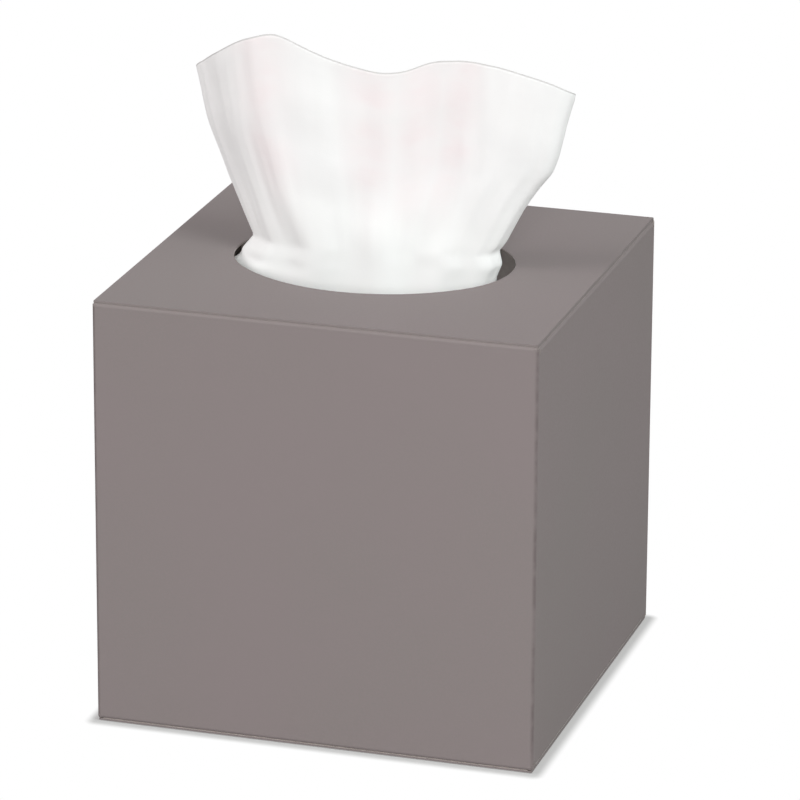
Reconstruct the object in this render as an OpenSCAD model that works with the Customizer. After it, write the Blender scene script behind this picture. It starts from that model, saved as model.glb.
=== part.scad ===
// Cube carton of pull-up facial tissues, one sheet standing up through the oval in its top.
// Millimetres, +Z up, origin in the middle of the carton's underside.
// The carton is one folded and glued blank: four walls in a ring with a glued seam at the
// back left corner, and a glued four-flap closure at the top and at the bottom.

/* [Carton] */
// Width of the carton, left to right
box_w = 115; // [108:0.5:135]
// Depth of the carton, front to back
box_d = 112; // [106:0.5:135]
// Height of the carton
box_h = 112; // [100:0.5:140]
// Thickness of the paperboard
board = 0.5; // [0.35:0.05:0.7]
// Inside radius of every fold
fold_in_r = 0.5; // [0.3:0.1:0.9]
// How far the cut edge of a glued flap stays back from the wall's face
flap_relief = 0.4; // [0.3:0.1:0.9]
// How far the free edge of the long inner flap stays back from the fold at the back
inner_relief = 0.3; // [0.2:0.1:1]
// Length of the short inner flaps at the left and right
dust_flap = 15; // [8:0.5:16]
// How far the short flaps are narrower than the wall at each end
dust_relief = 0.8; // [0.5:0.1:3]
// How much the free edge of a short flap is cut back at each end
dust_taper = 6; // [2:0.5:10]
// Width of the strip that closes the ring of walls
glue_flap = 14; // [8:0.5:20]

/* [Opening] */
// Width of the oval, left to right
opening_w = 72.6; // [66:0.2:76]
// Depth of the oval, front to back
opening_d = 58.4; // [50:0.2:64]
// Radius of the oval's two ends
opening_end_r = 24; // [20:0.5:24.5]
// Offset of the oval from the middle, to the right
opening_x = -1.3; // [-3:0.1:3]
// Offset of the oval from the middle, to the back
opening_y = -0.9; // [-3:0.1:3]
// How much larger the cut-out in the inner flap is, all round
opening_step = 3; // [1:0.5:4]

/* [Tissue clip] */
// Free height between the top of the clip and the top of the carton
head_space = 26; // [22:0.5:34]
// Gap between the clip and the walls at each side
clip_side_gap = 3; // [2:0.5:5]
// Gap between the clip and the walls at the front and the back
clip_end_gap = 3; // [2:0.5:5]
// Gap between the two legs of the folded clip
clip_slot = 12; // [6:0.5:16]
// Visible bundles of sheets in the thickness of the clip
clip_bundles = 6; // [3:1:8]
// Depth of the line between two bundles
bundle_line = 0.5; // [0.3:0.1:1]

/* [Raised tissue] */
// Highest point of the tissue over the carton's top
tissue_rise = 60.5; // [45:0.5:75]
// Reach of the fan to the left of the opening's middle, at its top
fan_left = 48.5; // [42:0.5:52]
// Reach of the fan to the right of the opening's middle, at its top
fan_right = 51.5; // [42:0.5:54]
// Half of the fan's thickness, front to back, between its front and its turned-in wings
fan_depth = 9.5; // [7:0.5:11]
// Angle that the fan is turned away from the carton's front
fan_turn = 6; // [0:1:12]
// Gap between the tissue and the left end of the oval
rim_gap_left = 1.8; // [1.6:0.1:4]
// Gap between the tissue and the right end of the oval
rim_gap_right = 4.6; // [1:0.1:8]
// How much narrower the tissue is just above the oval than in it, at the left
pinch_left = 3; // [1:0.1:4]
// The same at the right
pinch_right = 0.8; // [0:0.1:3]
// Offset of the tissue from the oval's middle, to the back
fan_back = 1.9; // [0:0.1:3]
// Depth of the small gathers where the tissue is drawn through the oval
gather = 0.7; // [0.5:0.1:1.8]
// Gathers across the sheet
gathers = 10; // [6:1:12]
// Length of the tail that hangs behind the clip
tail_drop = 38; // [20:1:45]
// Thickness of the loose two-ply sheet
sheet_t = 0.4; // [0.3:0.05:0.6]
// Clearance between the sheet's foot and the clip that it rests on
sheet_gap = 0.25; // [0.15:0.05:0.5]

/* [Colours] */
// Printed face of the board
board_colour = "#8a807d";
// Tissue
tissue_colour = "#f6f5f3";

/* [Hidden] */
$fn = 96;

fold_r = fold_in_r + board;              // outside radius of a fold
stack_t = 3 * board;                     // three layers of board in each closure
inner_w = box_w - 2 * board;
inner_d = box_d - 2 * board;

// the oval, drawn with four arcs that meet in a tangent
oval_a = opening_w / 2;
oval_b = opening_d / 2;

// the clip, bent over into an upside-down U
clip_w = inner_w - 2 * clip_side_gap;
clip_d = inner_d - 2 * clip_end_gap;
clip_r = clip_w / 2;
clip_base = stack_t;
clip_top = box_h - head_space;
crest_z = clip_top - clip_r;             // height of the crest's centre line
slot_r = clip_slot / 2;

// the raised sheet
neck_left = oval_a - rim_gap_left;
neck_right = oval_a - rim_gap_right;
foot_reach = clip_r * 0.98;              // reach of the sheet where it lands on the clip
foot_r = clip_r + sheet_gap + sheet_t / 2;
foot_h = foot_r + crest_z - box_h;       // height of the landing line against the top
wing = 150;                              // angle of the sheet's side edges round the fan
tail_wrap = 76;                          // angle that the tail reaches down each side of the crest
n_across = 56;
n_tail = 13;                             // rows of the tail, and how many of them lie on the clip
n_lying = 8;
n_fan = 27;

// The carton: one folded blank

// Quarter of a folded strip, from pointing along +Y to pointing along +X, corner at the origin side
module fold_section() {
    intersection() {
        difference() {
            circle(r = fold_r);
            circle(r = fold_in_r);
        }
        translate([-fold_r, 0]) square([fold_r, fold_r]);
    }
}

// The three folds between the walls, and the back wall's cut edge at the fourth corner
module wall_folds() {
    w = box_w / 2;
    d = box_d / 2;
    translate([-w + fold_r, -d + fold_r]) rotate(90) fold_section();
    translate([w - fold_r, -d + fold_r]) rotate(180) fold_section();
    translate([w - fold_r, d - fold_r]) rotate(270) fold_section();
    translate([-w + flap_relief, d - board]) square([fold_r - flap_relief, board]);
}

// The glue strip behind that cut edge, with its fold one board further in
module glue_seam() {
    w = box_w / 2;
    d = box_d / 2;
    translate([-w + fold_r, d - board - fold_r]) fold_section();
    translate([-w + fold_r, d - 2 * board]) square([glue_flap, board]);
}

// The four walls in plan, with the glue strip behind the seam at the back left corner
module wall_plan() {
    w = box_w / 2;
    d = box_d / 2;
    translate([-w + fold_r, -d]) square([box_w - 2 * fold_r, board]);
    translate([w - board, -d + fold_r]) square([board, box_d - 2 * fold_r]);
    translate([-w, -d + fold_r]) square([board, box_d - board - 2 * fold_r]);
    translate([-w + fold_r, d - board]) square([box_w - 2 * fold_r, board]);
    wall_folds();
    glue_seam();
}

module oval(w, d, end_r) {
    a = w / 2;
    b = d / 2;
    k = (pow(a - end_r, 2) - pow(b - end_r, 2)) / (2 * (b - end_r));
    side_r = b + k;
    tangent_x = (a - end_r) * side_r / (side_r - end_r);
    translate([a - end_r, 0]) circle(r = end_r);
    translate([end_r - a, 0]) circle(r = end_r);
    intersection() {
        translate([0, k]) circle(r = side_r);
        translate([0, -k]) circle(r = side_r);
        square([2 * tangent_x, 3 * b], center = true);
    }
}

module opening_cut(extra) {
    translate([opening_x, opening_y])
        oval(opening_w + 2 * extra, opening_d + 2 * extra, opening_end_r + extra);
}

// The fold of a long flap hinged on the back wall, its upper face at height z, with the strip
// of wall that reaches up to it from z0
module long_fold(z, z0) {
    w = box_w / 2;
    d = box_d / 2;
    l = box_w - 2 * flap_relief;
    translate([-w + fold_r, d - board, z0]) cube([box_w - 2 * fold_r, board, z - fold_r - z0]);
    translate([-w + flap_relief, d - fold_r, z - fold_r])
        rotate([90, 0, 90]) linear_extrude(l) mirror([1, 0]) fold_section();
}

// A short flap hinged on the right wall, its upper face at height z
module dust_flap_right(z, z0) {
    w = box_w / 2;
    l = box_d / 2 - fold_r - dust_relief;
    translate([w - fold_r, l, z - fold_r])
        rotate([90, 0, 0]) linear_extrude(2 * l) mirror([1, 0]) fold_section();
    translate([w - board, -l, z0]) cube([board, 2 * l, z - fold_r - z0]);
    translate([0, 0, z - board]) linear_extrude(board)
        polygon([
            [w - fold_r, -l], [w - fold_r, l],
            [w - fold_r - dust_flap, l - dust_taper], [w - fold_r - dust_flap, -l + dust_taper]
        ]);
}

// One closure, drawn as the top one: two short flaps, the inner flap hinged at the front,
// and the outer flap hinged at the back, glued on each other
module closure(open) {
    w = box_w / 2;
    d = box_d / 2;
    flap_w = box_w - 2 * flap_relief;
    z_walls = box_h - stack_t - fold_r;
    dust_flap_right(box_h - 2 * board, z_walls);
    mirror([1, 0, 0]) dust_flap_right(box_h - 2 * board, z_walls);
    mirror([0, 1, 0]) long_fold(box_h - board, z_walls);
    long_fold(box_h, z_walls);
    translate([0, 0, z_walls]) linear_extrude(box_h - 2 * board - z_walls) wall_folds();
    translate([0, 0, z_walls]) linear_extrude(box_h - stack_t - z_walls) glue_seam();
    translate([0, 0, box_h - 2 * board]) linear_extrude(board) difference() {
        translate([-w + flap_relief, -d + fold_r])
            square([flap_w, box_d - 2 * fold_r - inner_relief]);
        if (open) opening_cut(opening_step);
    }
    translate([0, 0, box_h - board]) linear_extrude(board) difference() {
        translate([-w + flap_relief, -d + flap_relief])
            square([flap_w, box_d - fold_r - flap_relief]);
        if (open) opening_cut(0);
    }
}

module carton() {
    color(board_colour) {
        translate([0, 0, stack_t + fold_r])
            linear_extrude(box_h - 2 * (stack_t + fold_r)) wall_plan();
        closure(true);
        translate([0, 0, box_h]) mirror([0, 0, 1]) closure(false);
    }
}

// The clip of folded sheets

// Upside-down U of inner radius ri and outer radius ro, standing on the board
module clip_section(ri, ro) {
    difference() {
        union() {
            translate([0, crest_z]) circle(r = ro);
            translate([-ro, clip_base]) square([2 * ro, crest_z - clip_base]);
        }
        translate([0, crest_z]) circle(r = ri);
        translate([-ri, clip_base - board]) square([2 * ri, crest_z - clip_base + board]);
        translate([-2 * ro, crest_z - 2 * ro]) square([4 * ro, clip_base - crest_z + 2 * ro]);
    }
}

module tissue_stack() {
    bundle_t = (clip_r - slot_r) / clip_bundles;
    color(tissue_colour) difference() {
        translate([0, clip_d / 2, 0]) rotate([90, 0, 0])
            linear_extrude(clip_d) clip_section(slot_r, clip_r);
        // lines between the bundles, on the two faces where the folds of the sheets show
        for (side = [-1, 1], i = [1 : clip_bundles - 1]) {
            r = slot_r + i * bundle_t;
            translate([0, side * clip_d / 2 + bundle_line, 0]) rotate([90, 0, 0])
                linear_extrude(2 * bundle_line) clip_section(r - bundle_line / 2, r + bundle_line / 2);
        }
    }
}

// The raised tissue: a sheet swept from the clip up to its free edge

function smooth(e0, e1, x) = let (t = min(1, max(0, (x - e0) / (e1 - e0)))) t * t * (3 - 2 * t);
function mix(a, b, f) = a + (b - a) * f;

// Share of the rise that the free edge reaches, by the angle round the fan
function edge_share(th) = lookup(th, [
    [-150, 0.73], [-120, 0.735], [-105, 0.745], [-90, 0.775], [-75, 0.81], [-58, 0.875], [-42, 0.955],
    [-28, 1.0], [-12, 0.885], [0, 0.83], [8, 0.83], [16, 0.885], [28, 0.9], [42, 0.88], [58, 0.84],
    [75, 0.785], [90, 0.755], [105, 0.70], [120, 0.695], [135, 0.70], [150, 0.69]
]);
// How the two sides open from the pinch to the top, by the share of the rise
function left_spread(f) = lookup(f, [[0.06, 0], [0.33, 0.41], [0.53, 0.69], [0.83, 0.93], [1, 1]]);
function right_spread(f) = lookup(f, [[0.06, 0], [0.09, 0.08], [0.16, 0.18], [0.24, 0.3], [0.3, 0.41],
    [0.36, 0.53], [0.42, 0.67], [0.5, 0.75], [0.62, 0.83], [0.74, 0.93], [1, 1]]);
// How they open from the oval down to the clip, by the share of the head space
function left_foot(f) = lookup(f, [[0, 0], [0.06, 0.02], [0.15, 0.22], [0.35, 0.57], [0.62, 0.88], [1, 1]]);
function right_foot(f) = lookup(f, [[0, 0], [0.12, -0.06], [0.31, -0.08], [0.46, 0.06], [0.69, 0.6], [1, 1]]);

function reach(h, neck, pinch, fan, up, down) =
    h < 0 ? mix(neck, foot_reach, down)
          : h < tissue_rise * 0.06 ? mix(neck, neck - pinch, h / (tissue_rise * 0.06))
                                   : mix(neck - pinch, fan, up);
function half_reach(left, h) = left
    ? reach(h, neck_left, pinch_left, fan_left, left_spread(h / tissue_rise), left_foot(h / foot_h))
    : reach(h, neck_right, pinch_right, fan_right, right_spread(h / tissue_rise), right_foot(h / foot_h));
function half_depth(h) = fan_depth * (h < 0
    ? lookup(h / foot_h, [[0, 0.89], [0.35, 0.88], [0.55, 0.66], [0.8, 0.24], [1, 0]])
    : mix(0.89, 1, h / tissue_rise));
function wrap(h) = h > 0 ? wing : lookup(h / foot_h, [[0, wing], [0.3, 138], [0.7, 98], [1, 90]]);

// A point of the standing part: q runs -1 to 1 across the sheet, t from the clip to the free edge
function fan_point(q, t) = let (
    h = mix(foot_h, tissue_rise * edge_share(q * wing), t),
    th = q * wrap(h),
    a = half_reach(th < 0, h),
    grow = smooth(-0.15, 0.65, h / tissue_rise),
    tuck = (gather * (smooth(foot_h * 0.85, foot_h * 0.25, h) - 0.75 * smooth(0.06, 0.75, h / tissue_rise))),
    wave = tuck * sin(q * gathers * 180 + 30),
    sway = (1 + 2.4 * grow) * smooth(foot_h * 0.8, 0, h) * sin(th * 3.4 + 35) * pow(cos(th / 2), 2),
    x = a * sin(th) + 0.7 * wave * sin(th) + 0.8 * grow * sin(th * 5 + 57),
    y = -half_depth(h) * cos(th) + sway - wave * cos(th),
    px = opening_x + x * cos(fan_turn) - y * sin(fan_turn),
    py = opening_y + fan_back + x * sin(fan_turn) + y * cos(fan_turn),
    settle = smooth(foot_h * 0.46, foot_h, h),
    al = px / clip_r * 180 / PI
) [
    mix(px, foot_r * sin(al), settle),
    py,
    mix(box_h + h, crest_z + foot_r * cos(al), settle)
];

// A point of the tail: it lies on the crest towards the back and hangs down behind the clip
function tail_point(q, t) = let (
    start = fan_point(q, 0),
    al0 = asin(max(-1, min(1, start[0] / foot_r))),
    back_y = clip_d / 2 + sheet_gap + sheet_t / 2,
    bend = n_lying / n_tail,
    al = mix(al0, q * tail_wrap, smooth(0, bend, t)),
    drop = tail_drop * max(0, t - bend) / (1 - bend)
) [foot_r * sin(al), mix(start[1], back_y, min(1, t / bend)), crest_z + foot_r * cos(al) - drop];

function row(j) = [for (i = [0 : n_across]) let (q = 2 * i / n_across - 1)
    j < n_tail ? tail_point(q, 1 - j / n_tail) : fan_point(q, (j - n_tail) / n_fan)];

module raised_tissue() {
    n_rows = n_tail + n_fan;
    pts = [for (j = [0 : n_rows]) row(j)];
    normals = [for (j = [0 : n_rows]) [for (i = [0 : n_across]) let (
        u = pts[j][min(n_across, i + 1)] - pts[j][max(0, i - 1)],
        v = pts[min(n_rows, j + 1)][i] - pts[max(0, j - 1)][i],
        n = cross(u, v)
    ) n / norm(n)]];
    m = n_across + 1;
    count = m * (n_rows + 1);
    faces_sheet = [for (j = [0 : n_rows - 1], i = [0 : n_across - 1]) let (p = j * m + i)
        each [[p, p + m, p + m + 1], [p, p + m + 1, p + 1],
              [count + p, count + p + m + 1, count + p + m], [count + p, count + p + 1, count + p + m + 1]]];
    loop = concat(
        [for (i = [0 : n_across - 1]) i],
        [for (j = [0 : n_rows - 1]) j * m + n_across],
        [for (i = [n_across : -1 : 1]) n_rows * m + i],
        [for (j = [n_rows : -1 : 1]) j * m]
    );
    faces_edge = [for (k = [0 : len(loop) - 1]) let (p = loop[k], r = loop[(k + 1) % len(loop)])
        each [[p, r, count + r], [p, count + r, count + p]]];
    color(tissue_colour) polyhedron(
        points = concat(
            [for (j = [0 : n_rows], i = [0 : n_across]) pts[j][i] + normals[j][i] * sheet_t / 2],
            [for (j = [0 : n_rows], i = [0 : n_across]) pts[j][i] - normals[j][i] * sheet_t / 2]
        ),
        faces = concat(faces_sheet, faces_edge),
        convexity = 8
    );
}

carton();
tissue_stack();
raised_tissue();
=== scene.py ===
import math
import bmesh
import bpy
import numpy as np
from mathutils import Matrix, Vector, noise


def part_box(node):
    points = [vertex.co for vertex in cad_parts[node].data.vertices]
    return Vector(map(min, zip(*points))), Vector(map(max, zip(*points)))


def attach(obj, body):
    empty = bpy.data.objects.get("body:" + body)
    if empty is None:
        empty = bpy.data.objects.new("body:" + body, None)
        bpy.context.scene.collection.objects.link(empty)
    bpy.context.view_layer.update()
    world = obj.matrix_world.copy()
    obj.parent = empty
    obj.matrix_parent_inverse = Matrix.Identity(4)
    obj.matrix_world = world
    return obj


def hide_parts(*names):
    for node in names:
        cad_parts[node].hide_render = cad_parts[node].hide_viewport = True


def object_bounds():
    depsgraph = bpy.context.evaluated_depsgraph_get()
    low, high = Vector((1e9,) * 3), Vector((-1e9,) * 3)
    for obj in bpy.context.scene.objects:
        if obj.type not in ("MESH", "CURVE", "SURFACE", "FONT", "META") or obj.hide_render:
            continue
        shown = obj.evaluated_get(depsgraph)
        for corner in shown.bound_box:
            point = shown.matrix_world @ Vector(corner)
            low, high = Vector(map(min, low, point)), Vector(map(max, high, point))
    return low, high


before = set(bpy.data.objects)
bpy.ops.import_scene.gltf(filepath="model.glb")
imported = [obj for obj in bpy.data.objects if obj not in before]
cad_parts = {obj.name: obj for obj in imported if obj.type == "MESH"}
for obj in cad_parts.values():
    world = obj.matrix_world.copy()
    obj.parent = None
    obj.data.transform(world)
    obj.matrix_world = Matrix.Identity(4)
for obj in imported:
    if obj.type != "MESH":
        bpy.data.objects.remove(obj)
cad_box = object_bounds()
scene = bpy.context.scene
scene.view_settings.view_transform = "Standard"

# Camera. It stands well back from the carton, to the right of its front and a little
# above it, with a long lens, so that the upright edges stay nearly parallel.
camera_turn, camera_rise, camera_roll = math.radians(16.99), math.radians(19.03), math.radians(0.31)
camera_aim = Vector((0, 0, 0.060))
camera_back, camera_aside, camera_lift = 1.392, 0.00523, 0.01301
toward = Vector((
    math.sin(camera_turn) * math.cos(camera_rise),
    -math.cos(camera_turn) * math.cos(camera_rise),
    math.sin(camera_rise),
))
level = Vector((math.cos(camera_turn), math.sin(camera_turn), 0.0))
upward = toward.cross(level)
camera_right = level * math.cos(camera_roll) + upward * math.sin(camera_roll)
camera_up = upward * math.cos(camera_roll) - level * math.sin(camera_roll)
camera_place = camera_aim + toward * camera_back + camera_right * camera_aside + camera_up * camera_lift
camera_data = bpy.data.cameras.new("camera")
camera_data.sensor_width = 36.0
camera_data.lens = 243.7
camera_data.clip_start = 0.05
camera_data.clip_end = 30.0
camera = bpy.data.objects.new("camera", camera_data)
scene.collection.objects.link(camera)
camera.matrix_world = Matrix((
    (camera_right.x, camera_up.x, toward.x, camera_place.x),
    (camera_right.y, camera_up.y, toward.y, camera_place.y),
    (camera_right.z, camera_up.z, toward.z, camera_place.z),
    (0, 0, 0, 1),
))
scene.camera = camera


# Studio. A pale sky and four large soft lamps: beside the camera, at the left, at the right and
# overhead. The floor is white to the camera and keeps the carton's soft contact shadow.
def linear(r, g, b):
    """A colour written as screen values from 0 to 255, as the linear values that a shader takes."""
    out = []
    for value in (r, g, b):
        v = value / 255
        out.append(v / 12.92 if v <= 0.04045 else ((v + 0.055) / 1.055) ** 2.4)
    return (*out, 1.0)


def node(tree, kind, **settings):
    made = tree.nodes.new(kind)
    for name, value in settings.items():
        setattr(made, name, value)
    return made


def math_node(tree, operation, first, second=None):
    made = node(tree, "ShaderNodeMath", operation=operation)
    for socket, value in zip(made.inputs, (first, second)):
        if value is None:
            continue
        if isinstance(value, (int, float)):
            socket.default_value = value
        else:
            tree.links.new(value, socket)
    return made.outputs[0]


def either(tree, first, second):
    """The larger of two values; of two masks, a mask that holds where either does."""
    return math_node(tree, "MAXIMUM", first, second)


def diagonal(tree, first, second):
    """The straight distance to a point that is first away on one axis and second on the other."""
    return math_node(tree, "SQRT", math_node(tree, "ADD", math_node(tree, "POWER", first, 2.0),
                                             math_node(tree, "POWER", second, 2.0)))


def ramp(tree, value, low, high, to_low=0.0, to_high=1.0):
    """A smooth step: to_low where value is up to low, to_high where it is past high."""
    made = node(tree, "ShaderNodeMapRange", interpolation_type="SMOOTHSTEP")
    tree.links.new(value, made.inputs["Value"])
    made.inputs["From Min"].default_value = low
    made.inputs["From Max"].default_value = high
    made.inputs["To Min"].default_value = to_low
    made.inputs["To Max"].default_value = to_high
    return made.outputs["Result"]


world = bpy.data.worlds.new("studio")
scene.world = world
world.use_nodes = True
sky = world.node_tree
sky.nodes.clear()
sky_path = node(sky, "ShaderNodeLightPath")
sky_mirrored = either(sky, sky_path.outputs["Is Glossy Ray"], sky_path.outputs["Is Transmission Ray"])
sky_seen = either(sky, sky_path.outputs["Is Camera Ray"], sky_mirrored)
sky_light = node(sky, "ShaderNodeBackground")
sky_light.inputs["Color"].default_value = (1.0, 0.99, 0.99, 1.0)
sky_light.inputs["Strength"].default_value = 0.28
sky_white = node(sky, "ShaderNodeBackground")
sky_white.inputs["Color"].default_value = (1, 1, 1, 1)
sky_white.inputs["Strength"].default_value = 1.0
sky_mix = node(sky, "ShaderNodeMixShader")
sky_out = node(sky, "ShaderNodeOutputWorld")
sky.links.new(sky_seen, sky_mix.inputs[0])
sky.links.new(sky_light.outputs[0], sky_mix.inputs[1])
sky.links.new(sky_white.outputs[0], sky_mix.inputs[2])
sky.links.new(sky_mix.outputs[0], sky_out.inputs["Surface"])

lamp_aim = Vector((0, 0, 0.1))


def soft_lamp(name, place, width, watts, colour):
    data = bpy.data.lights.new(name, "AREA")
    data.shape = "DISK"
    data.size = width
    data.energy = watts
    data.color = colour
    lamp = bpy.data.objects.new(name, data)
    scene.collection.objects.link(lamp)
    lamp.location = place
    lamp.rotation_euler = (lamp_aim - Vector(place)).to_track_quat("-Z", "Y").to_euler()


soft_lamp("key_lamp", (0.45, -2.02, 0.82), width=0.6, watts=20.9, colour=(1.0, 0.982, 0.985))
soft_lamp("left_lamp", (-1.85, -0.85, 1.5), width=1.2, watts=21.5, colour=(1.0, 0.98, 0.985))
soft_lamp("right_lamp", (1.65, -0.85, 1.4), width=1.0, watts=27.2, colour=(0.92, 1.0, 0.985))
soft_lamp("top_lamp", (0.6, 0.0, 2.2), width=1.6, watts=2.8, colour=(1.0, 0.985, 0.985))

floor_half, floor_drop = 6.0, 0.0002
contact_from, contact_to, contact_share = 0.0005, 0.0036, 0.75
floor_mesh = bmesh.new()
bmesh.ops.create_grid(floor_mesh, x_segments=1, y_segments=1, size=floor_half)
bmesh.ops.translate(floor_mesh, verts=floor_mesh.verts, vec=(0, 0, -floor_drop))
floor_data = bpy.data.meshes.new("floor")
floor_mesh.to_mesh(floor_data)
floor_mesh.free()
floor = bpy.data.objects.new("floor", floor_data)
scene.collection.objects.link(floor)
floor_paint = bpy.data.materials.new("white floor")
floor_paint.use_nodes = True
tree = floor_paint.node_tree
tree.nodes.clear()
floor_coords = node(tree, "ShaderNodeTexCoord")
floor_where = node(tree, "ShaderNodeSeparateXYZ")
tree.links.new(floor_coords.outputs["Object"], floor_where.inputs[0])
floor_out_by = []
for axis, half in (("X", cad_box[1][0]), ("Y", cad_box[1][1])):
    off_middle = math_node(tree, "ABSOLUTE", floor_where.outputs[axis])
    floor_out_by.append(either(tree, math_node(tree, "SUBTRACT", off_middle, half), 0.0))
floor_near = ramp(tree, diagonal(tree, *floor_out_by), contact_from, contact_to, contact_share, 0.0)
floor_path = node(tree, "ShaderNodeLightPath")
floor_matt = node(tree, "ShaderNodeBsdfDiffuse")
floor_matt.inputs["Color"].default_value = (0.5, 0.495, 0.49, 1)
floor_white = node(tree, "ShaderNodeEmission")
floor_white.inputs["Color"].default_value = (1, 1, 1, 1)
floor_white.inputs["Strength"].default_value = 1.0
# a camera sees white with a share of the lit floor; all other light meets the plain matt floor
floor_share = math_node(tree, "SUBTRACT", 1.0, math_node(
    tree, "MULTIPLY", floor_path.outputs["Is Camera Ray"], math_node(tree, "SUBTRACT", 1.0, floor_near)))
floor_mix = node(tree, "ShaderNodeMixShader")
floor_surface = node(tree, "ShaderNodeOutputMaterial")
tree.links.new(floor_share, floor_mix.inputs[0])
tree.links.new(floor_white.outputs[0], floor_mix.inputs[1])
tree.links.new(floor_matt.outputs[0], floor_mix.inputs[2])
tree.links.new(floor_mix.outputs[0], floor_surface.inputs["Surface"])
floor_data.materials.append(floor_paint)


# Carton. One blank of 0.5 mm paperboard, printed plain taupe outside and left pale inside. It is
# creased, folded and glued; painted shade lies along the folds, and the cut edges show bare.
def matt_surface(name, roughness):
    made = bpy.data.materials.new(name)
    made.use_nodes = True
    shader = made.node_tree.nodes["Principled BSDF"]
    shader.inputs["Roughness"].default_value = roughness
    shader.inputs["Specular IOR Level"].default_value = 0.3
    return made, made.node_tree, shader


def colour_mix(tree, share, first, second):
    made = node(tree, "ShaderNodeMix", data_type="RGBA")
    tree.links.new(share, made.inputs["Factor"])
    for socket, value in ((made.inputs[6], first), (made.inputs[7], second)):
        if isinstance(value, tuple):
            socket.default_value = value
        else:
            tree.links.new(value, socket)
    return made.outputs[2]


def noise_value(tree, place, scale, detail):
    made = node(tree, "ShaderNodeTexNoise")
    tree.links.new(place, made.inputs["Vector"])
    made.inputs["Scale"].default_value = scale
    made.inputs["Detail"].default_value = detail
    made.inputs["Roughness"].default_value = 0.55
    return made.outputs["Fac"]


def both(tree, first, second):
    """A mask that holds where two masks do."""
    return math_node(tree, "MULTIPLY", first, second)


def past(tree, value, limit):
    return math_node(tree, "GREATER_THAN", value, limit)


def short_of(tree, value, limit):
    return math_node(tree, "LESS_THAN", value, limit)


def unsigned(tree, value):
    return math_node(tree, "ABSOLUTE", value)


half_w, half_d, carton_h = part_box("carton")[1]
board_t = 0.0005
# how deep the printed face is taken to reach into the board, and how squarely a face looks out
skin, squarely = 0.9 * board_t, 0.3
# a fold's painted shade grows from the first distance off the carton's outside to the second
fold_start, fold_full = 0.0011, 0.0002
top_fold_start, top_fold_full = 0.0022, 0.0008
# how deep the top's layers lie, and how near the side and the front walls their flaps end
closure_t, side_strip, front_strip = 3.2 * board_t, 3 * board_t, 8 * board_t
taupe, clouded_taupe, grained_taupe = linear(130, 120, 120), linear(127, 120, 118), linear(131, 121, 121)
# painted shade for the folds: dark along the uprights, barely darker than the ink round the top
upright_fold_painted_shade, top_fold_painted_shade = linear(96, 86, 86), linear(127, 118, 117)
inside_board, edge_board, board_fleck = linear(232, 225, 221), linear(160, 152, 148), linear(150, 140, 134)

board, tree, shader = matt_surface("printed paperboard", 0.62)
coords = node(tree, "ShaderNodeTexCoord")
where = node(tree, "ShaderNodeSeparateXYZ")
facing = node(tree, "ShaderNodeSeparateXYZ")
tree.links.new(coords.outputs["Object"], where.inputs[0])
tree.links.new(coords.outputs["Normal"], facing.inputs[0])
across = unsigned(tree, where.outputs["X"])
deep = unsigned(tree, where.outputs["Y"])
high = where.outputs["Z"]
out_x = both(tree, past(tree, across, half_w - skin),
             past(tree, unsigned(tree, facing.outputs["X"]), squarely))
out_y = both(tree, past(tree, deep, half_d - skin),
             past(tree, unsigned(tree, facing.outputs["Y"]), squarely))
out_top = both(tree, past(tree, high, carton_h - skin), past(tree, facing.outputs["Z"], squarely))
out_under = both(tree, short_of(tree, high, skin), short_of(tree, facing.outputs["Z"], -squarely))
printed = either(tree, either(tree, out_x, out_y), either(tree, out_top, out_under))
# the ink lies a little unevenly, in broad clouds and in fine grain
cloud = noise_value(tree, coords.outputs["Object"], scale=16.0, detail=2.0)
grain = noise_value(tree, coords.outputs["Object"], scale=1500.0, detail=3.0)
ink_and_fold_shade = colour_mix(tree, ramp(tree, cloud, 0.3, 0.7), taupe, clouded_taupe)
ink_and_fold_shade = colour_mix(tree, ramp(tree, grain, 0.25, 0.75), ink_and_fold_shade, grained_taupe)
# painted shade on the folds, patchy: most along the uprights, least round the top, to tone down its
# highlight
upright_fold = both(tree, ramp(tree, across, half_w - fold_start, half_w - fold_full),
                    ramp(tree, deep, half_d - fold_start, half_d - fold_full))
top_fold = both(tree, ramp(tree, high, carton_h - top_fold_start, carton_h - top_fold_full),
                math_node(tree, "SUBTRACT", 1.0, out_top))
fold_shade_patchiness = noise_value(tree, coords.outputs["Object"], scale=260.0, detail=4.0)
fold_shade_patchiness = ramp(tree, fold_shade_patchiness, 0.3, 0.7, 0.45, 0.9)
ink_and_fold_shade = colour_mix(tree, both(tree, upright_fold, fold_shade_patchiness), ink_and_fold_shade, upright_fold_painted_shade)
ink_and_fold_shade = colour_mix(tree, both(tree, top_fold, fold_shade_patchiness), ink_and_fold_shade, top_fold_painted_shade)
# inside, the bare board is paler than at the cut edges that show in the top and at its corners
near_side = past(tree, across, half_w - side_strip)
near_front = past(tree, deep, half_d - front_strip)
upright = short_of(tree, unsigned(tree, facing.outputs["Z"]), squarely)
in_top = past(tree, high, carton_h - closure_t)
cut_edge = both(tree, in_top, either(tree, upright, either(tree, near_side, near_front)))
cut_edge = either(tree, cut_edge, both(tree, near_side, near_front))
bare = colour_mix(tree, cut_edge, inside_board, edge_board)
flecks = noise_value(tree, coords.outputs["Object"], scale=700.0, detail=5.0)
bare = colour_mix(tree, ramp(tree, flecks, 0.3, 0.7, 0.0, 0.15), bare, board_fleck)
tree.links.new(colour_mix(tree, printed, bare, ink_and_fold_shade), shader.inputs["Base Color"])
tree.links.new(ramp(tree, grain, 0.2, 0.8, 0.56, 0.68), shader.inputs["Roughness"])
fibre = node(tree, "ShaderNodeBump")
fibre.inputs["Strength"].default_value = 0.35
fibre.inputs["Distance"].default_value = 0.00004
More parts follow.
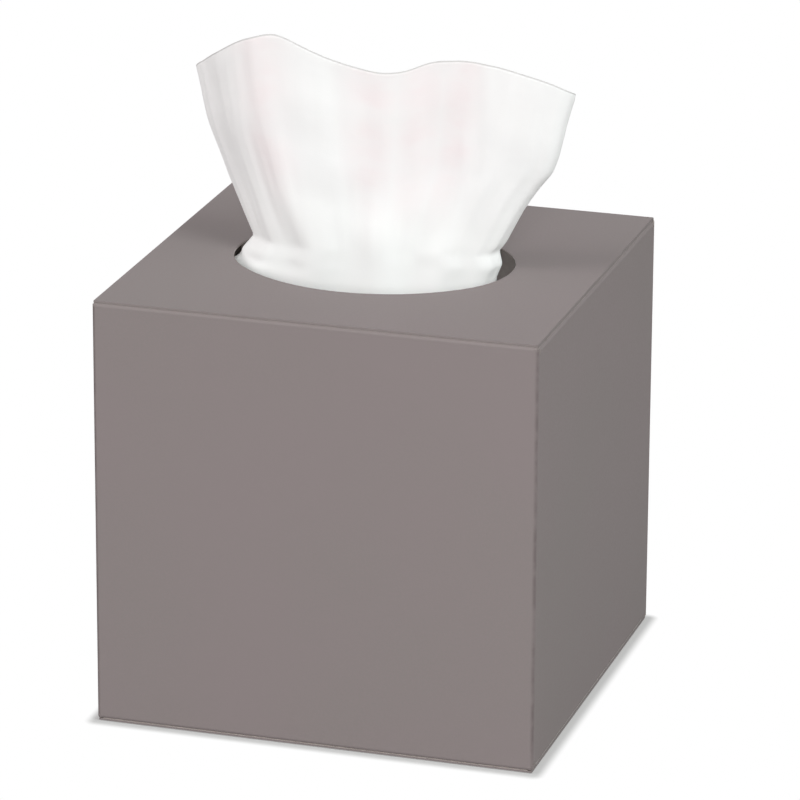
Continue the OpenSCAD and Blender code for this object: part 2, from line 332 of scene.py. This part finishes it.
clumps = noise_value(tree, coords.outputs["Object"], scale=420.0, detail=4.0)
tree.links.new(math_node(tree, "ADD", grain, clumps), fibre.inputs["Height"])
tree.links.new(fibre.outputs["Normal"], shader.inputs["Normal"])
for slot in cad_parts["carton"].material_slots:
    slot.material = board


# Clip of sheets. About ninety two-ply sheets, folded into each other and bent over into an
# upside-down U so that they stand in the carton; their folded edges show at its two ends.
clip_low, clip_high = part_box("tissue_stack")
clip_r = (clip_high[0] - clip_low[0]) / 2
clip_half = (clip_high[1] - clip_low[1]) / 2
crest_z = clip_high[2] - clip_r
slot_r = 0.006
bundles = 22
bundle_t = (clip_r - slot_r) / bundles
packed_t = bundle_t * 0.94
# no bundle is quite even: it stands up to most_lift high, and each end stops up to most_slip short
most_lift, most_slip = 0.0012, 0.0016
arc_steps_per_metre, lengths, leaf_t = 700, 8, 0.00042
uneven = np.random.default_rng(7)

clip_mesh = bmesh.new()
for k in range(bundles):
    mid_r = slot_r + (k + 0.5) * bundle_t
    stand = clip_low[2] + uneven.uniform(0.0, most_lift)
    half = clip_half - uneven.uniform(0.0, most_slip)
    leg_middle = (stand + crest_z) / 2
    steps = max(10, int(mid_r * arc_steps_per_metre))
    line = [(-mid_r, stand), (-mid_r, leg_middle)]
    line += [(-mid_r * math.cos(math.pi * i / steps), crest_z + mid_r * math.sin(math.pi * i / steps))
             for i in range(steps + 1)]
    line += [(mid_r, leg_middle), (mid_r, stand)]
    strip = bmesh.new()
    row = [strip.verts.new((x, -half, z)) for x, z in line]
    edges = [strip.edges.new((a, b)) for a, b in zip(row, row[1:])]
    for step in range(lengths):
        made = bmesh.ops.extrude_edge_only(strip, edges=edges)["geom"]
        edges = [g for g in made if isinstance(g, bmesh.types.BMEdge)]
        moved = [g for g in made if isinstance(g, bmesh.types.BMVert)]
        bmesh.ops.translate(strip, verts=moved, vec=(0, 2 * half / lengths, 0))
    bmesh.ops.recalc_face_normals(strip, faces=strip.faces)
    top = max(strip.faces, key=lambda f: f.calc_center_median().z)
    if top.normal.z < 0:
        bmesh.ops.reverse_faces(strip, faces=strip.faces)
    # the line is the bundle's middle: it moves out by half the bundle, which then thickens inwards
    strip.normal_update()
    for v in strip.verts:
        v.co += v.normal * (packed_t / 2)
    bmesh.ops.solidify(strip, geom=strip.verts[:] + strip.edges[:] + strip.faces[:], thickness=packed_t)
    bmesh.ops.recalc_face_normals(strip, faces=strip.faces)
    bundle_data = bpy.data.meshes.new("bundle")
    strip.to_mesh(bundle_data)
    strip.free()
    clip_mesh.from_mesh(bundle_data)
    bpy.data.meshes.remove(bundle_data)
clip_data = bpy.data.meshes.new("sheet_clip")
clip_mesh.to_mesh(clip_data)
clip_mesh.free()
sheet_clip = bpy.data.objects.new("sheet_clip", clip_data)
scene.collection.objects.link(sheet_clip)
stacked, tree, shader = matt_surface("stacked tissue", 0.9)
coords = node(tree, "ShaderNodeTexCoord")
where = node(tree, "ShaderNodeSeparateXYZ")
tree.links.new(coords.outputs["Object"], where.inputs[0])
# the leaves are rings round the crest's centre line, and go straight down below it
over_crest = either(tree, math_node(tree, "SUBTRACT", where.outputs["Z"], crest_z), 0.0)
round_crest = diagonal(tree, over_crest, where.outputs["X"])
leaves = math_node(tree, "SINE", math_node(tree, "MULTIPLY", round_crest, 2 * math.pi / leaf_t))
# the gaps between the leaves are painted a darker white, as painted shade
leaf_gap_shade, leaf_white = linear(226, 224, 221), linear(243, 242, 240)
leaves_and_gap_shade = colour_mix(tree, ramp(tree, leaves, -1.0, 1.0), leaf_gap_shade, leaf_white)
tree.links.new(leaves_and_gap_shade, shader.inputs["Base Color"])
leaf_bump = node(tree, "ShaderNodeBump")
leaf_bump.inputs["Strength"].default_value = 0.5
leaf_bump.inputs["Distance"].default_value = 0.0001
fluff = noise_value(tree, coords.outputs["Object"], scale=900.0, detail=4.0)
tree.links.new(math_node(tree, "ADD", leaves, fluff), leaf_bump.inputs["Height"])
tree.links.new(leaf_bump.outputs["Normal"], shader.inputs["Normal"])
clip_data.materials.append(stacked)
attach(sheet_clip, "root")
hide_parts("tissue_stack")


# Raised tissue. One two-ply crepe sheet, 168 by 172 mm: its upper half is drawn up through
# the oval, gathered there and open above it, and its lower half lies on the clip.
def spread_curve(stations, blur):
    """A smooth curve through stations of (place, value), rounded over about blur."""
    keys = np.array([s[0] for s in stations], float)
    values = np.array([s[1] for s in stations], float)
    fine = np.linspace(keys[0], keys[-1], 801)
    step = fine[1] - fine[0]
    reach = max(1, int(3 * blur / step))
    bell = np.exp(-0.5 * (np.arange(-reach, reach + 1) * step / blur) ** 2)
    padded = np.concatenate([
        2 * values[0] - np.interp(fine[1:reach + 1], keys, values)[::-1],
        np.interp(fine, keys, values),
        2 * values[-1] - np.interp(fine[-reach - 1:-1], keys, values)[::-1],
    ])
    curve = np.convolve(padded, bell / bell.sum(), mode="valid")
    return lambda place: np.interp(place, fine, curve)


def ease(low, high, value):
    t = np.clip((value - low) / (high - low), 0, 1)
    return t * t * (3 - 2 * t)


def between(a, b, share):
    return a + (b - a) * share


# the sheet's sizes are in millimetres, and angles round the fan start at its front
opening_x, opening_y, oval_a = -1.3, -0.9, 36.3
tissue_rise, fan_left, fan_right, fan_depth = 60.5, 48.5, 51.5, 9.5
fan_back, fan_turn, wing = 1.9, math.radians(6), 150.0
neck_left, neck_right, pinch_left, pinch_right = oval_a - 1.5, oval_a - 4.2, 3.0, 0.8
pinch_h, neck_depth = tissue_rise * 0.06, 0.89
gather, gathers, gather_turn = 0.7, 10, 30
sway_more, sway_waves, sway_turn = 2.4, 3.4, math.radians(35)
lobe, lobe_waves, lobe_turn = 0.8, 5, 1
tail_rows, lying_rows, fan_rows = 13, 8, 27
tail_wrap, tail_drop = 76, 38.0
top_mm, crest_mm, clip_mm = carton_h * 1000, crest_z * 1000, clip_r * 1000
off_clip = 0.45
foot_r = clip_mm + off_clip
foot_reach = clip_mm * 0.98
foot_h = foot_r + crest_mm - top_mm
# share of the rise that the free edge reaches, by the angle round the fan
edge_share = spread_curve([
    (-150, 0.73), (-120, 0.735), (-105, 0.745), (-90, 0.775), (-75, 0.81), (-58, 0.875), (-42, 0.955),
    (-28, 1.0), (-12, 0.885), (0, 0.83), (8, 0.83), (16, 0.885), (28, 0.9), (42, 0.88), (58, 0.84),
    (75, 0.785), (90, 0.755), (105, 0.70), (120, 0.695), (135, 0.70), (150, 0.69)], 3.0)
# how the two sides open from the pinch to the top, by the share of the rise
left_spread = spread_curve([(0.06, 0), (0.33, 0.41), (0.53, 0.69), (0.83, 0.93), (1, 1)], 0.04)
right_spread = spread_curve([(0.06, 0), (0.09, 0.08), (0.16, 0.18), (0.24, 0.3), (0.3, 0.41), (0.36, 0.53),
                             (0.42, 0.67), (0.5, 0.75), (0.62, 0.83), (0.74, 0.93), (1, 1)], 0.015)
# how the foot opens from the oval down to the clip, by the share of the way down: its left and
# right reach, its depth, and how far round it goes
left_foot = spread_curve([(0, 0), (0.06, 0.02), (0.15, 0.22), (0.35, 0.57), (0.62, 0.88), (1, 1)], 0.02)
right_foot = spread_curve([(0, 0), (0.12, -0.06), (0.31, -0.08), (0.46, 0.06), (0.69, 0.6), (1, 1)], 0.02)
deep_foot = spread_curve([(0, 0.89), (0.35, 0.88), (0.55, 0.66), (0.8, 0.24), (1, 0)], 0.02)
wrap_foot = spread_curve([(0, 150), (0.3, 138), (0.7, 98), (1, 90)], 0.02)


def half_reach(left, h):
    """How far the sheet reaches to one side of the oval's middle at height h over the carton."""
    neck, pinch, fan = (neck_left, pinch_left, fan_left) if left else (neck_right, pinch_right, fan_right)
    spread, foot = (left_spread, left_foot) if left else (right_spread, right_foot)
    return np.where(
        h < 0, between(neck, foot_reach, foot(h / foot_h)),
        np.where(h < pinch_h, between(neck, neck - pinch, h / pinch_h),
                 between(neck - pinch, fan, spread(h / tissue_rise))))


def fan_points(q, t):
    """The standing half: q runs -1 to 1 across the sheet, t 0 to 1 from the clip to the free edge."""
    h = between(foot_h, tissue_rise * edge_share(q * wing), t)
    share = h / tissue_rise
    turn = np.radians(q * np.where(h > 0, wing, wrap_foot(h / foot_h)))
    reach = np.where(turn < 0, half_reach(True, h), half_reach(False, h))
    depth = fan_depth * np.where(h < 0, deep_foot(h / foot_h), between(neck_depth, 1, share))
    grow = ease(-0.15, 0.65, share)
    # the gathers are deepest at the oval, fade above it, and are shallow where the two flanks turn back
    tuck = gather * (ease(foot_h * 0.85, foot_h * 0.25, h) - 0.85 * ease(0.0, 0.45, share))
    calm = 1 - 0.6 * ease(0.1, 0.5, abs(q)) * ease(0.95, 0.7, abs(q))
    wave = tuck * calm * np.sin(np.radians(q * gathers * 180 + gather_turn))
    sway = (1 + sway_more * grow) * ease(foot_h * 0.8, 0, h)
    sway = sway * np.sin(turn * sway_waves + sway_turn) * np.cos(turn / 2) ** 2
    x = reach * np.sin(turn) + 0.7 * wave * np.sin(turn)
    x = x + lobe * grow * np.sin(turn * lobe_waves + lobe_turn)
    y = -depth * np.cos(turn) + sway - wave * np.cos(turn)
    px = opening_x + x * math.cos(fan_turn) - y * math.sin(fan_turn)
    py = opening_y + fan_back + x * math.sin(fan_turn) + y * math.cos(fan_turn)
    # on its last stretch down, the foot settles on the round of the clip
    settle = ease(foot_h * 0.46, foot_h, h)
    tilt = px / clip_mm
    return np.stack([between(px, foot_r * np.sin(tilt), settle), py,
                     between(top_mm + h, crest_mm + foot_r * np.cos(tilt), settle)], -1)


def tail_points(q, t):
    """The lower half: t 0 to 1 from the clip's crest, back over the clip and down behind it."""
    start = fan_points(q, np.zeros_like(q))
    start_tilt = np.arcsin(np.clip(start[..., 0] / foot_r, -1, 1))
    bend, back_y = lying_rows / tail_rows, clip_half * 1000 + off_clip
    tilt = between(start_tilt, np.radians(q * tail_wrap), ease(0, bend, t))
    drop = tail_drop * np.maximum(0, t - bend) / (1 - bend)
    return np.stack([foot_r * np.sin(tilt), between(start[..., 1], back_y, np.minimum(1, t / bend)),
                     crest_mm + foot_r * np.cos(tilt) - drop], -1)


across_n, up_n, tail_share = 210, 150, tail_rows / (tail_rows + fan_rows)
sheet_mesh = bmesh.new()
sheet_uv = sheet_mesh.loops.layers.uv.new("UVMap")
bmesh.ops.create_grid(sheet_mesh, x_segments=across_n, y_segments=up_n, size=1.0)
sheet_mesh.verts.ensure_lookup_table()
flat = np.array([v.co[:2] for v in sheet_mesh.verts])
q_all, s_all = flat[:, 0], (flat[:, 1] + 1) / 2
fan_t = np.clip((s_all - tail_share) / (1 - tail_share), 0, 1)
tail_t = np.clip(1 - s_all / tail_share, 0, 1)
points = np.where((s_all < tail_share)[:, None], tail_points(q_all, tail_t), fan_points(q_all, fan_t))
for face in sheet_mesh.faces:
    for corner in face.loops:
        corner[sheet_uv].uv = ((corner.vert.co.x + 1) / 2, (corner.vert.co.y + 1) / 2)
for v, p in zip(sheet_mesh.verts, points):
    v.co = p / 1000
sheet_mesh.normal_update()
# soft creases that fan out from the gathers, and a little unevenness from the folding; they start
# in the gathers, and are calm at the two flanks too
crease_start, crease_full = 0.25, 0.5
# long creases, short creases and rumples: how many across and up, where in the noise, and their height
crease_kinds = ((15, 1.6, 3.0, 0.55), (34, 3.5, 9.0, 0.22), (6, 6, 1.0, 0.5))
for v, q, s in zip(sheet_mesh.verts, q_all, fan_t):
    if s <= crease_start:
        continue
    crease = 0.0
    for times_across, times_up, patch, height in crease_kinds:
        crease += noise.noise(Vector((q * times_across, s * times_up, patch))) * height
    calm = (1 - 0.6 * ease(0.2, 0.65, abs(q))) * ease(crease_start, crease_full, s)
    v.co += v.normal * crease * 0.001 * float(calm)
bmesh.ops.recalc_face_normals(sheet_mesh, faces=sheet_mesh.faces)
for face in sheet_mesh.faces:
    face.smooth = True
tissue_data = bpy.data.meshes.new("tissue_sheet")
sheet_mesh.to_mesh(tissue_data)
sheet_mesh.free()
tissue_sheet = bpy.data.objects.new("tissue_sheet", tissue_data)
scene.collection.objects.link(tissue_sheet)
plies = tissue_sheet.modifiers.new("plies", "SOLIDIFY")
plies.thickness = 0.00016
plies.offset = 0.0
tissue, tree, shader = matt_surface("crepe tissue", 0.92)
coords = node(tree, "ShaderNodeTexCoord")
weave_map = node(tree, "ShaderNodeMapping")
tree.links.new(coords.outputs["UV"], weave_map.inputs["Vector"])
weave_map.inputs["Scale"].default_value = (0.168, 0.172, 1)
# the crepe's fine ridges run across the sheet
crepe = node(tree, "ShaderNodeTexNoise")
crepe_map = node(tree, "ShaderNodeMapping")
tree.links.new(weave_map.outputs["Vector"], crepe_map.inputs["Vector"])
crepe_map.inputs["Scale"].default_value = (600, 2400, 1)
tree.links.new(crepe_map.outputs["Vector"], crepe.inputs["Vector"])
crepe.inputs["Scale"].default_value = 1.0
crepe.inputs["Detail"].default_value = 3.0
soft = noise_value(tree, weave_map.outputs["Vector"], scale=60.0, detail=3.0)
white = colour_mix(tree, ramp(tree, soft, 0.3, 0.7), linear(244, 243, 243), linear(247, 246, 246))
# faint rosy painted shade lies in four broad streaks that run up the sheet with its folds
along = node(tree, "ShaderNodeSeparateXYZ")
tree.links.new(coords.outputs["UV"], along.inputs[0])
rosy_fold_shades = []
for centre, half_width in ((0.378, 0.055), (0.497, 0.045), (0.545, 0.045), (0.59, 0.04)):
    off_centre = unsigned(tree, math_node(tree, "SUBTRACT", along.outputs["X"], centre))
    rosy_fold_shades.append(ramp(tree, off_centre, 0.0, half_width, 1.0, 0.0))
rosy_fold_shade = rosy_fold_shades[0]
for other in rosy_fold_shades[1:]:
    rosy_fold_shade = either(tree, rosy_fold_shade, other)
rosy_fold_shade = both(tree, rosy_fold_shade, ramp(tree, soft, 0.35, 0.65, 0.4, 1.0))
white = colour_mix(tree, rosy_fold_shade, white, linear(244, 235, 236))
# painted light: the gathered foot is whiter than the fan, lifting the shade it lies in; painted shade
# greys the free edge
foot_to_fan = ramp(tree, along.outputs["Y"], 0.58, 0.8)
white = colour_mix(tree, foot_to_fan, linear(249, 249, 248), white)
free_edge_shade = ramp(tree, along.outputs["Y"], 0.9958, 0.9982)
tree.links.new(colour_mix(tree, free_edge_shade, white, linear(208, 206, 205)), shader.inputs["Base Color"])
shader.inputs["Sheen Weight"].default_value = 0.08
shader.inputs["Sheen Roughness"].default_value = 0.6
crepe_bump = node(tree, "ShaderNodeBump")
crepe_bump.inputs["Strength"].default_value = 0.35
crepe_bump.inputs["Distance"].default_value = 0.00005
tree.links.new(crepe.outputs["Fac"], crepe_bump.inputs["Height"])
tree.links.new(crepe_bump.outputs["Normal"], shader.inputs["Normal"])
# thin paper lets some light through, least at the foot, where the gathers lie in several layers
glow = node(tree, "ShaderNodeBsdfTranslucent")
glow.inputs["Color"].default_value = linear(250, 247, 243)
thin = node(tree, "ShaderNodeMixShader")
tree.links.new(ramp(tree, along.outputs["Y"], 0.58, 0.9, 0.01, 0.14), thin.inputs[0])
tree.links.new(shader.outputs[0], thin.inputs[1])
tree.links.new(glow.outputs[0], thin.inputs[2])
tree.links.new(thin.outputs[0], tree.nodes["Material Output"].inputs["Surface"])
tissue_data.materials.append(tissue)
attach(tissue_sheet, "root")
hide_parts("raised_tissue")
